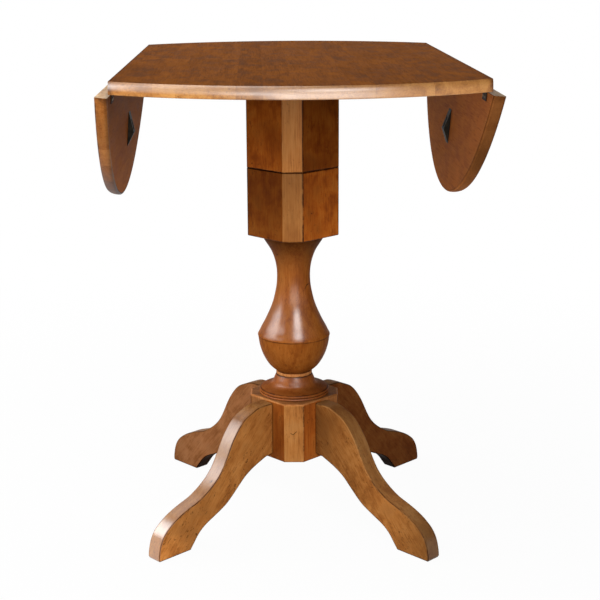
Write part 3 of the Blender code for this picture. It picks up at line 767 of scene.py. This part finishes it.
# Painted shade on the left rim, darker towards the underside; a lighter line along the right leaf's arris
# next to the underside.
ARRIS_SHADE_AND_LINE = {-1: [(0.0, 0.50), (0.0035, 0.62), (0.0058, 0.84), (0.0090, 1.0)],
              1: [(0.0, 1.35), (0.0025, 1.35), (0.0035, 1.0)]}
# Painted light and shade along the arcs of the rims: the left one darker towards its far end, the right one
# darker and then lighter.
ARC_PAINTED_LIGHT = {-1: [(0.0, 1.0), (0.5, 0.92), (0.8, 0.50), (1.0, 0.32)],
            1: [(0.0, 1.0), (0.35, 0.92), (0.52, 0.72), (0.62, 0.85), (0.74, 1.35), (0.85, 1.6), (1.0, 1.6)]}
LEAF_GLAZE = (0.0, 0.8)
LEAF_SEED = 3


def leaf(side, label):
    def outward(x):
        return (x - SLAB_HALF_W) / (TOP_RADIUS - SLAB_HALF_W)

    def rim(x, height):
        return LEAF_RIM_PAINTED_SHADE[side] * along(ARC_PAINTED_LIGHT[side], outward(x)) * along(ARRIS_SHADE_AND_LINE[side], height)

    def under(x, y):
        lift = along(FRONT_PAINTED_LIGHT[side], outward(x))
        return along(UNDER_PAINTED_LIGHT[side], outward(x)) * (1 + lift if y < 0 else 1 - lift)

    body = top_body(leaf_outline, {0, ARC_STEPS + 1}, rim_levels(LEAF_EASE, *LEAF_GLAZE), rim,
                    lambda x, height: 1.0, lambda y: 1.0 / LEAF_PAINTED_LIGHT[side], under)
    if side < 0:
        for point in body.points:
            point.x = -point.x
    body.build("leaf_board_" + label, [TOP_FACE, LEAF_RIM_WOOD[side], UNDERSIDE, LEAF_TOP_EDGE],
               "leaf_%s_body" % label, "top_wood", ["leaf_" + label], board_grain(LEAF_SEED + side),
               hang(side) @ Matrix.Translation((TOP_X, 0, 0)), tone=LEAF_PAINTED_LIGHT[side])


slab()
leaf(1, "right")
leaf(-1, "left")

# Pedestal blocks and riser; lists of eight start at the front right side
CORNER_GLAZE = [0.9, 0.9, 0.9, 0.4, 0.4, 0.9, 0.9, 0.25]
COLUMN_TONES = [1.23, 1.0, 1.0, 0.9, 0.9, 1.1, 0.70, 0.76]
HUB_TONES = [1.12, 1.0, 1.0, 1.0, 1.0, 1.0, 0.82, 0.84]
RISER_TONES = [0.47, 1.0, 1.1, 1.1, 0.9, 1.0, 0.83, 0.75]
# Painted shadow: the column block and riser darker towards the top, under the table top.
COLUMN_PAINTED_SHADOW = [(0.0, 1.16), (1.0, 0.84)]
RISER_PAINTED_SHADOW = [(0.0, 1.55), (1.0, 0.60)]

# Corners are a radius, its steps and the glaze's width
BLOCK_CORNERS = (0.0012, 4, 0.0015)
BLOCK_EASE = 0.0022
COLUMN_LINE = 0.0025
HUB_LINE = 0.0015
RISER_CORNERS = (0.0008, 3, 0.0012)
RISER_EASE = 0.0020
RISER_LINE = 0.0020


def cut_square(c, n):
    return [(n, -c), (c, -n), (c, n), (n, c), (-n, c), (-c, n), (-c, -n), (-n, -c)]


def block(c, n, low, high, tones, line, hollow=None, band=0.0):
    """Square block with cut corners. Zones are the wide sides, narrow sides and ends."""
    points, edges, sides = rounded(cut_square(c, n), *BLOCK_CORNERS, CORNER_GLAZE)
    for k in reversed(range(len(points))):
        after = points[(k + 1) % len(points)]
        if (sides[k] % 2 or hollow) and (Vector(after) - Vector(points[k])).length > n:
            points.insert(k + 1, tuple((Vector(points[k]) + Vector(after)) / 2))
            edges.insert(k + 1, 0.0)
            sides.insert(k + 1, sides[k])
    zones = [side % 2 for side in sides]
    shades = [tones[side] for side in sides]
    return prism(points, low, high, BLOCK_EASE, line, zones, own=edges, cap_zone=2, shades=shades,
                 hollow=hollow, band=band)


def fade_up(body, low, high, table):
    """Scale each point's shade by its height."""
    for k, point in enumerate(body.points):
        body.shade[k] *= along(table, (point.z - low) / (high - low))


def column():
    high = RISER_BASE_Z - GAP
    body = block(BLOCK_C, BLOCK_N, BLOCK_BASE_Z, high, COLUMN_TONES, COLUMN_LINE)
    fade_up(body, BLOCK_BASE_Z, high, COLUMN_PAINTED_SHADOW)
    body.build("column_block_wood", [WIDE, NARROW, WIDE], "table", "base_wood", ["column_block"],
               upright_grain(COLUMN_SEED), turn_to(PEDESTAL_TWIST))


HUB_BAND = 0.020
HUB_BAND_X = 0.060
HUB_RIM = 0.0023
HUB_RIM_EDGE = 0.25
HUB_FLAT = 0.0001
# Painted highlight along the hub's upper rim, turning to painted shade on the right; painted shade on its top
# face, darker at the corners and most on the right.
HUB_RIM_PAINTED_LIGHT = [(-0.09, 1.3), (0.02, 1.3), (0.06, 0.85), (0.09, 0.80)]
HUB_FACE_PAINTED_SHADE = [(-0.085, 0.68), (-0.04, 0.74), (0.0, 1.0), (0.04, 0.66), (0.085, 0.50)]


def hub():
    """Block with a painted highlight on its upper rim, painted shade on its top, and its top's wood above the
    legs.
    """
    body = block(HUB_C, HUB_N, HUB_BASE_Z, HUB_TOP_Z, HUB_TONES, HUB_LINE, (HUB_CAVITY, HUB_CAVITY_TOP_Z),
                 HUB_BAND)
    for k, point in enumerate(body.points):
        if point.z > HUB_TOP_Z - HUB_RIM and body.edge[k] > HUB_RIM_EDGE:
            body.edge[k] = 0.0
            body.shade[k] = along(HUB_RIM_PAINTED_LIGHT, point.x)
        elif point.z > HUB_TOP_Z - HUB_FLAT:
            body.shade[k] = along(HUB_FACE_PAINTED_SHADE, point.x)
    place = turn_to(PEDESTAL_TWIST)
    for k, face in enumerate(body.faces):
        centre = place @ (sum((body.points[i] for i in face), Vector()) / len(face))
        above_leg = centre.z > HUB_TOP_Z - HUB_BAND and abs(centre.x - COLUMN_X) > HUB_BAND_X
        if above_leg or centre.z > HUB_TOP_Z - HUB_RIM:
            body.zones[k] = 2
    body.build("hub_wood", [HUB_WIDE, HUB_NARROW, HUB_TOP_LIT], "table", "base_wood", ["hub"],
               upright_grain(HUB_SEED), place)


def riser():
    """Four wide boards and four narrow staves, mitred to a box."""
    high = UNDER_Z - GAP - BOARD_THICK - GAP
    inner_c = BLOCK_C - RISER_WALL
    inner_n = (BLOCK_C + BLOCK_N) - RISER_WALL * sqrt(2) - inner_c
    outer = cut_square(BLOCK_C, BLOCK_N)
    inner = cut_square(inner_c, inner_n)
    for k in range(8):
        m = (k + 1) % 8
        corners = [Vector(outer[k]), Vector(outer[m]), Vector(inner[m]), Vector(inner[k])]
        run = (corners[1] - corners[0]).normalized() * GAP / 2
        corners = [corners[0] + run, corners[1] - run, corners[2] - run, corners[3] + run]
        wide = k % 2 == 0
        name = ("riser_board_" if wide else "riser_stave_") + str(k // 2 + 1)
        weights = [CORNER_GLAZE[k], CORNER_GLAZE[m], 0.0, 0.0]
        points, edges, sides = rounded([tuple(p) for p in corners], *RISER_CORNERS, weights)
        body = prism(points, RISER_BASE_Z, high, RISER_EASE, RISER_LINE, 0, own=edges)
        fade_up(body, RISER_BASE_Z, high, RISER_PAINTED_SHADOW)
        body.build(name + "_wood", [WIDE if wide else NARROW], "table", "base_wood", [name],
                   upright_grain(RISER_SEED + RISER_SEED_STEP * k), turn_to(PEDESTAL_TWIST),
                   tone=RISER_TONES[k])


column()
hub()
riser()

# Turned column: each list is one smooth run of (radius, height), and runs meet at a crisp line
BALUSTER = [
    [(0.0688, 0.2491), (0.0697, 0.2496), (0.0701, 0.2508), (0.0698, 0.2524), (0.0690, 0.2532)],
    [(0.0678, 0.2535), (0.0690, 0.2542), (0.0697, 0.2556), (0.0696, 0.2574), (0.0688, 0.2589)],
    [(0.0680, 0.2596), (0.0640, 0.2612), (0.0560, 0.2632), (0.0500, 0.2650), (0.0455, 0.2672),
     (0.0425, 0.2715), (0.0406, 0.2777), (0.0385, 0.2825), (0.0362, 0.2878)],
    [(0.0352, 0.2881), (0.0361, 0.2897), (0.0362, 0.2917), (0.0355, 0.2934), (0.0342, 0.2946)],
    [(0.0342, 0.2950), (0.0362, 0.2965), (0.0417, 0.3005), (0.0501, 0.3089), (0.0570, 0.3193),
     (0.0627, 0.3308), (0.0666, 0.3417), (0.0694, 0.3531), (0.0712, 0.3650), (0.0715, 0.3686)],
    [(0.0722, 0.3694), (0.0720, 0.3712), (0.0708, 0.3736), (0.0684, 0.3780), (0.0650, 0.3853),
     (0.0580, 0.3982), (0.0521, 0.4106), (0.0464, 0.4235), (0.0417, 0.4364), (0.0385, 0.4483),
     (0.0357, 0.4612), (0.0338, 0.4731), (0.0329, 0.4860), (0.0329, 0.4978), (0.0340, 0.5096),
     (0.0363, 0.5213), (0.0395, 0.5320), (0.0444, 0.5437), (0.0516, 0.5555), (0.0585, 0.5662),
     (0.0604, 0.5712), (0.0607, 0.5749)],
]
TURN_STEPS = 112
FOOT_Z = 0.2881
COLLAR_Z = 0.2948
RUN_END_GLAZE = [1.0, 0.8, 0.3]

# Painted light and shade, and gloss, of the turning: by height, and by the side from left to right
# Painted shade, darkest under the column block and in the grooves of the foot; painted light on the collar.
TURN_PAINTED_LIGHT = [(0.249, 0.80), (0.2532, 0.80), (0.2536, 0.50), (0.2560, 0.70), (0.2592, 0.70), (0.2600, 0.52),
               (0.2640, 0.56), (0.2680, 0.72), (0.2840, 0.80), (0.2878, 0.60), (0.289, 1.60), (0.2944, 1.55),
               (0.295, 0.50), (0.305, 0.72), (0.355, 0.82), (0.3686, 0.80), (0.3690, 0.88), (0.43, 0.88),
               (0.455, 1.0), (0.50, 0.92), (0.53, 0.64), (0.55, 0.42), (0.576, 0.20)]
TURN_GLOSS = [(0.249, 0.5), (0.2520, 0.5), (0.2536, 0.05), (0.2560, 0.2), (0.2596, 0.02), (0.264, 0.02),
              (0.2672, 0.50), (0.2868, 0.60), (0.289, 0.05), (0.295, 0.0), (0.3686, 0.0), (0.3715, 0.10),
              (0.379, 0.85), (0.39, 1.0), (0.42, 1.0), (0.44, 0.62), (0.466, 0.22), (0.495, 0.08),
              (0.576, 0.0)]
# Painted shade on the right side; on the foot, painted light on the left as well.
SIDE_PAINTED_SHADE = [(-1.0, 1.0), (0.1, 1.0), (0.8, 0.78)]
FOOT_SIDE_PAINTED_LIGHT = [(-1.0, 1.15), (-0.5, 1.08), (0.0, 0.90), (0.1, 0.90), (0.8, 0.78)]
SIDE_GLOSS = [(-1.0, 0.10), (-0.85, 0.40), (-0.70, 0.80), (-0.50, 1.0), (-0.3, 0.85), (0.0, 1.0),
              (0.35, 1.0), (0.75, 0.05)]


def baluster():
    """Zones are the bell and neck, the foot, and the collar between them."""
    body = Body()
    rings = []
    turn = turns(TURN_STEPS)
    for run in BALUSTER:
        line = smooth(run)
        for k, (radius, height) in enumerate(line):
            from_end = min(k, len(line) - 1 - k)
            value = RUN_END_GLAZE[from_end] if from_end < len(RUN_END_GLAZE) else 0.0
            ring = [(radius * cos(a), radius * sin(a), height) for a in turn]
            sides = FOOT_SIDE_PAINTED_LIGHT if height < FOOT_Z else SIDE_PAINTED_SHADE
            shade = [along(TURN_PAINTED_LIGHT, height) * along(sides, cos(a)) for a in turn]
            gloss = [along(TURN_GLOSS, height) * along(SIDE_GLOSS, cos(a)) for a in turn]
            rings.append(body.ring(ring, value, None, shade, gloss))
    for a, b in zip(rings, rings[1:]):
        height = body.points[b[0]].z
        body.bridge(a, b, 1 if height < FOOT_Z else 2 if height < COLLAR_Z else 0)
    body.cap(rings[0], 1)
    body.cap(rings[-1])
    body.build("baluster_wood", [TURNED, TURNED_FOOT, HUB_TOP_LIT], "table", "base_wood", ["baluster"],
               upright_grain(BALUSTER_SEED), Matrix.Translation((COLUMN_X, 0, 0)))


baluster()

# Sawn legs: (distance from the column's axis, height)
LEG_TOP = [
    (0.0992, 0.2442), (0.1141, 0.2432), (0.1309, 0.2372), (0.1491, 0.2289), (0.1622, 0.2182),
    (0.1739, 0.2045), (0.1842, 0.1897), (0.1931, 0.1739), (0.2027, 0.1560), (0.2129, 0.1399),
    (0.2238, 0.1273), (0.2367, 0.1161), (0.2529, 0.1051), (0.2717, 0.0952), (0.2926, 0.0883),
    (0.3134, 0.0808), (0.3312, 0.0724), (0.3461, 0.0627), (0.3570, 0.0532), (0.3650, 0.0416),
    (0.3699, 0.0289), (0.3729, 0.0151),
]
LEG_TOE = [(LEG_TOE_R, 0.0060), (LEG_TOE_R - 0.0004, 0.0024), (LEG_TOE_R - 0.0022, LEG_BASE_Z)]
LEG_LOW = [
    (0.0952, 0.1362), (0.1260, 0.1243), (0.1498, 0.1114), (0.1676, 0.0965), (0.1815, 0.0841),
    (0.1944, 0.0732), (0.2083, 0.0638), (0.2331, 0.0519), (0.2539, 0.0424), (0.2678, 0.0335),
    (0.2777, 0.0241), (0.2846, 0.0152), (0.2916, 0.0067), (0.2960, LEG_BASE_Z),
]
LEG_LOW_Z = 0.1385
LEG_EASE = 0.0019
LEG_LINE = 0.0012
LEG_STEPS = 84
LEG_CREASE = 30.0
LEG_GRAIN_SLOPE = -42
LEG_QUARTERS = (45, 135, 225, 315)

# Painted light and shade, gloss and wood of the legs: back right, back left, front left and front right
# The shade tables darken the back legs most, vary along each leg, and put a painted highlight on the front
# left toe.
LEG_PAINTED_LIGHT = {
    1: [(0.0, 0.42), (1.0, 0.40)],
    2: [(0.0, 0.74), (0.6, 0.70), (1.0, 0.55)],
    3: [(0.0, 0.88), (0.5, 0.95), (0.8, 0.98), (0.94, 1.02), (1.0, 1.60)],
    4: [(0.0, 0.52), (0.35, 0.68), (0.65, 0.90), (1.0, 0.46)],
}
LEG_GLOSS = {
    1: [(0.0, 0.08), (1.0, 0.08)],
    2: [(0.0, 0.08), (1.0, 0.08)],
    3: [(0.0, 0.0), (0.14, 0.0), (0.22, 0.20), (0.32, 0.50), (0.50, 0.52), (0.58, 0.38), (0.66, 0.38),
        (0.84, 0.46), (0.89, 1.0), (1.0, 1.0)],
    4: [(0.0, 0.05), (0.4, 0.15), (1.0, 0.25)],
}
LEG_SIDE_WOOD = {1: LEG_SIDE_SHADED, 2: LEG_SIDE_SHEEN, 3: LEG_SIDE, 4: LEG_SIDE}
LEG_TOP_WOOD = {1: LEG_TOP_FACE, 2: LEG_TOP_FACE, 3: LEG_TOP_SHINY, 4: LEG_TOP_FACE}

# Lighter line along one edge of the front right leg, where the glaze is left off
PALE_LINE_LEG = 4
PALE_LINE_FROM = 0.06
PALE_LINE_TO = 0.50
PALE_LINE_EDGE = 0.5
PALE_LINE_TONE = 1.4


def spaced(points, count):
    """The same line with evenly spaced points."""
    points = [Vector(p) for p in points]
    lengths = [(b - a).length for a, b in zip(points, points[1:])]
    step = sum(lengths) / (count - 1)
    result, done, k = [points[0]], 0.0, 0
    for i in range(1, count - 1):
        while done + lengths[k] < i * step:
            done += lengths[k]
            k += 1
        result.append(points[k].lerp(points[k + 1], (i * step - done) / lengths[k]))
    return [tuple(p) for p in result + [points[-1]]]


def leg(number, quarter):
    """Zones are the sawn sides, the upper edge and the lower edge."""
    face = (HUB_C + HUB_N) / sqrt(2) + GAP
    half = LEG_THICK / 2

    def outward(x):
        return (x - face) / (LEG_TOE_R - face)

    upper = smooth([(face, LEG_TOP[0][1])] + LEG_TOP) + LEG_TOE
    lower = [(face, LEG_LOW_Z)] + smooth(LEG_LOW)
    outline = spaced(lower, LEG_STEPS) + list(reversed(spaced(upper, LEG_STEPS)))
    shades = [along(LEG_PAINTED_LIGHT[number], outward(x)) for x, z in outline]
    glosses = [along(LEG_GLOSS[number], outward(x)) for x, z in outline]
    zones = [2] * LEG_STEPS + [1] * (LEG_STEPS - 1) + [2]
    body = prism(outline, -half, half, LEG_EASE, LEG_LINE, zones, shades=shades, glosses=glosses)
    if number == PALE_LINE_LEG:
        for k, point in enumerate(body.points):
            on_arris = k % len(outline) >= LEG_STEPS and point.z > half - LEG_EASE
            if on_arris and body.edge[k] > PALE_LINE_EDGE and PALE_LINE_FROM < outward(point.x) < PALE_LINE_TO:
                body.edge[k] = 0.0
                body.shade[k] *= PALE_LINE_TONE
    stand = Matrix(((1, 0, 0), (0, 0, -1), (0, 1, 0))).to_4x4()
    slope = Matrix.Rotation(radians(LEG_GRAIN_SLOPE), 4, "Z")
    grain = moved_grain(LEG_STEP, number) @ Matrix(((0, 0, 1), (1, 0, 0), (0, 1, 0))).to_4x4() @ slope
    body.build("leg_wood_%d" % number, [LEG_SIDE_WOOD[number], LEG_TOP_WOOD[number], LEG_UNDER_SHADE], "table",
               "base_wood", ["leg_%d" % number], grain, turn_to(quarter + PEDESTAL_TWIST) @ stand, LEG_CREASE)


for number, quarter in enumerate(LEG_QUARTERS, 1):
    leg(number, quarter)

# Hardware keeps its solids, with softened edges
THIN_SOFTEN = 0.0003
HARDWARE = [
    (("prop_bracket", "prop_pin"), STEEL, THIN_SOFTEN),
    ("prop_arm", BLACK_STEEL, 0.0004),
    ("leaf_catch", BLACK_PLASTIC, 0.0006),
    (("leg_bolt", "board_screw", "tie_rod"), ZINC, THIN_SOFTEN),
    ("glide", NYLON, 0.0004),
    ("mounting_board", PLAIN_BOARD, 0.0010),
]
WELD_DISTANCE = 0.00001
SOFTEN_ANGLE = 40


def finish_node(name, material, soften):
    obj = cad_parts[name]
    obj.data.materials.clear()
    obj.data.materials.append(material)
    weld = obj.modifiers.new("weld", "WELD")
    weld.merge_threshold = WELD_DISTANCE
    bevel = obj.modifiers.new("soften", "BEVEL")
    bevel.width = soften
    bevel.segments = 2
    bevel.limit_method = "ANGLE"
    bevel.angle_limit = radians(SOFTEN_ANGLE)


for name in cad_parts:
    if name.startswith("hinge_"):
        # The left hinges take the darker steel, painted shade.
        finish_node(name, SHADED_HINGE_STEEL if "left" in name else STEEL, THIN_SOFTEN)
    for prefixes, material, soften in HARDWARE:
        if name.startswith(prefixes):
            finish_node(name, material, soften)

# Screw heads on the hinge plates
SCREW_PROFILE = [(0.0025, -0.0002), (0.0025, 0.0001), (0.0021, 0.0006), (0.0012, 0.0009), (0.0010, 0.0008),
                 (0.0006, 0.0003)]
SCREW_SIDES = 16
SCREW_CREASE = 50.0
SCREW_REACH = 0.62
SCREW_SPACING = 0.010


def screw_heads(name, body_name, centres, place):
    """Domed heads pointing down from the given points."""
    heads = Body()
    turn = turns(SCREW_SIDES)
    for x, y, z in centres:
        rings = []
        for radius, height in SCREW_PROFILE:
            ring = [(x + radius * cos(a), y + radius * sin(a), z - height) for a in turn]
            rings.append(heads.ring(ring))
        for a, b in zip(rings, rings[1:]):
            heads.bridge(a, b)
        heads.cap(rings[0])
        heads.cap(rings[-1])
    heads.build(name, [SCREW], body_name, "hinge_steel", [], Matrix.Identity(4), place, SCREW_CREASE)


PLATE_LOW = UNDER_Z - GAP - HINGE_PLATE
for side, label in ((1, "right"), (-1, "left")):
    plates = [(-SCREW_REACH, "slab", "table", Matrix.Identity(4)),
              (SCREW_REACH, "leaf", "leaf_%s_body" % label, hang(side))]
    for y, end in ((-HINGE_Y, "front"), (HINGE_Y, "back")):
        for reach, tag, body_name, place in plates:
            x = TOP_X + side * (AXIS_X + reach * HINGE_REACH)
            centres = [(x, y - SCREW_SPACING, PLATE_LOW), (x, y + SCREW_SPACING, PLATE_LOW)]
            screw_heads("hinge_screws_%s_%s_%s" % (label, end, tag), body_name, centres, place)

# Floor that rises far away, light and camera
FLOOR_PROFILE = [(40.0, 0.0), (50.0, 0.8), (60.0, 3.2), (70.0, 7.2), (80.0, 12.8), (90.0, 20.0)]
FLOOR_SIDES = 48
FLOOR_GLOW_REACH = (0.4, 2.2)
FLOOR_GLOW = (0.965, 1.0)
FLOOR_GREY = (0.5, 0.5, 0.5, 1)
FLOOR_ROUGH = 0.9


def floor_material():
    """White glow to the camera, slightly less near the table, and plain grey to other light."""
    s = Shade("floor_white")
    path = s.add("LightPath")
    seen = s.math("MAXIMUM", path.outputs["Is Camera Ray"], path.outputs["Is Glossy Ray"])
    seen = s.math("MAXIMUM", seen, path.outputs["Is Transmission Ray"])
    place = s.add("NewGeometry").outputs["Position"]
    far = s.add("VectorMath", {0: place}, operation="LENGTH").outputs["Value"]
    share = s.between(far, FLOOR_GLOW_REACH, FLOOR_GLOW)
    glow = s.add("Emission", {"Color": (1, 1, 1, 1), "Strength": 1.0}).outputs[0]
    blend = s.add("MixShader", {0: s.math("MULTIPLY", seen, share), 1: s.shader.outputs[0], 2: glow})
    s.tree.links.new(blend.outputs[0], s.tree.nodes["Material Output"].inputs["Surface"])
    return s.finish(Base_Color=FLOOR_GREY, Roughness=FLOOR_ROUGH, Specular_IOR_Level=0.0)


def add_floor():
    turn = turns(FLOOR_SIDES)
    points = [(radius * cos(a), radius * sin(a), height) for radius, height in FLOOR_PROFILE for a in turn]
    faces = [tuple(range(FLOOR_SIDES))]
    for row in range(len(FLOOR_PROFILE) - 1):
        for k in range(FLOOR_SIDES):
            here = row * FLOOR_SIDES + k
            after = row * FLOOR_SIDES + (k + 1) % FLOOR_SIDES
            faces.append((here, after, after + FLOOR_SIDES, here + FLOOR_SIDES))
    mesh = bpy.data.meshes.new("floor")
    mesh.from_pydata(points, [], faces)
    mesh.materials.append(floor_material())
    floor = add_object("floor", mesh)


add_floor()

WORLD_GREY = (0.15, 0.15, 0.15, 1)
world = bpy.data.worlds.new("studio")
world.use_nodes = True
world.node_tree.nodes["Background"].inputs["Color"].default_value = WORLD_GREY
scene.world = world

LAMP_TARGET = Vector((0, 0, 0.45))


def lamp(name, azimuth, elevation, distance, size, power):
    """Soft white rectangular lamp; azimuth is from the front towards the right."""
    data = bpy.data.lights.new(name, "AREA")
    data.shape = "RECTANGLE"
    data.size, data.size_y = size
    data.energy = power
    obj = add_object(name, data)
    a, e = radians(azimuth), radians(elevation)
    back = Vector((sin(a) * cos(e), -cos(a) * cos(e), sin(e)))
    obj.location = LAMP_TARGET + back * distance
    obj.rotation_mode = "QUATERNION"
    obj.rotation_quaternion = (-back).to_track_quat("-Z", "Y")


lamp("front_softbox", 14, 33, 3.4, (1.4, 1.1), 44)
lamp("left_softbox", -95, 27, 3.0, (2.7, 1.5), 70)
lamp("corner_softbox", -55, 41, 3.2, (0.9, 0.8), 14)
lamp("front_fill", 2, 4, 4.0, (4.0, 1.1), 76)
lamp("top_softbox", -46, 65, 3.0, (2.4, 2.0), 72)
lamp("back_softbox", -160, 43, 3.2, (2.4, 1.2), 20)

PITCH = radians(14.692)
YAW = radians(1.862)
ROLL = radians(-0.267)
EYE = Vector((-0.0711 + COLUMN_X, -2.5749, 1.1144))
LENS = 80.008
SENSOR_WIDTH = 36


def camera():
    forward = Vector((sin(YAW) * cos(PITCH), cos(YAW) * cos(PITCH), -sin(PITCH)))
    level = Vector((cos(YAW), -sin(YAW), 0))
    rise = level.cross(forward)
    right = level * cos(ROLL) + rise * sin(ROLL)
    up = rise * cos(ROLL) - level * sin(ROLL)
    data = bpy.data.cameras.new("camera")
    data.sensor_width = SENSOR_WIDTH
    data.lens = LENS
    obj = add_object("camera", data)
    matrix = Matrix((right, up, -forward)).transposed().to_4x4()
    matrix.translation = EYE
    obj.matrix_world = matrix
    scene.camera = obj


camera()
scene.view_settings.view_transform = "Standard"

bpy.context.view_layer.update()
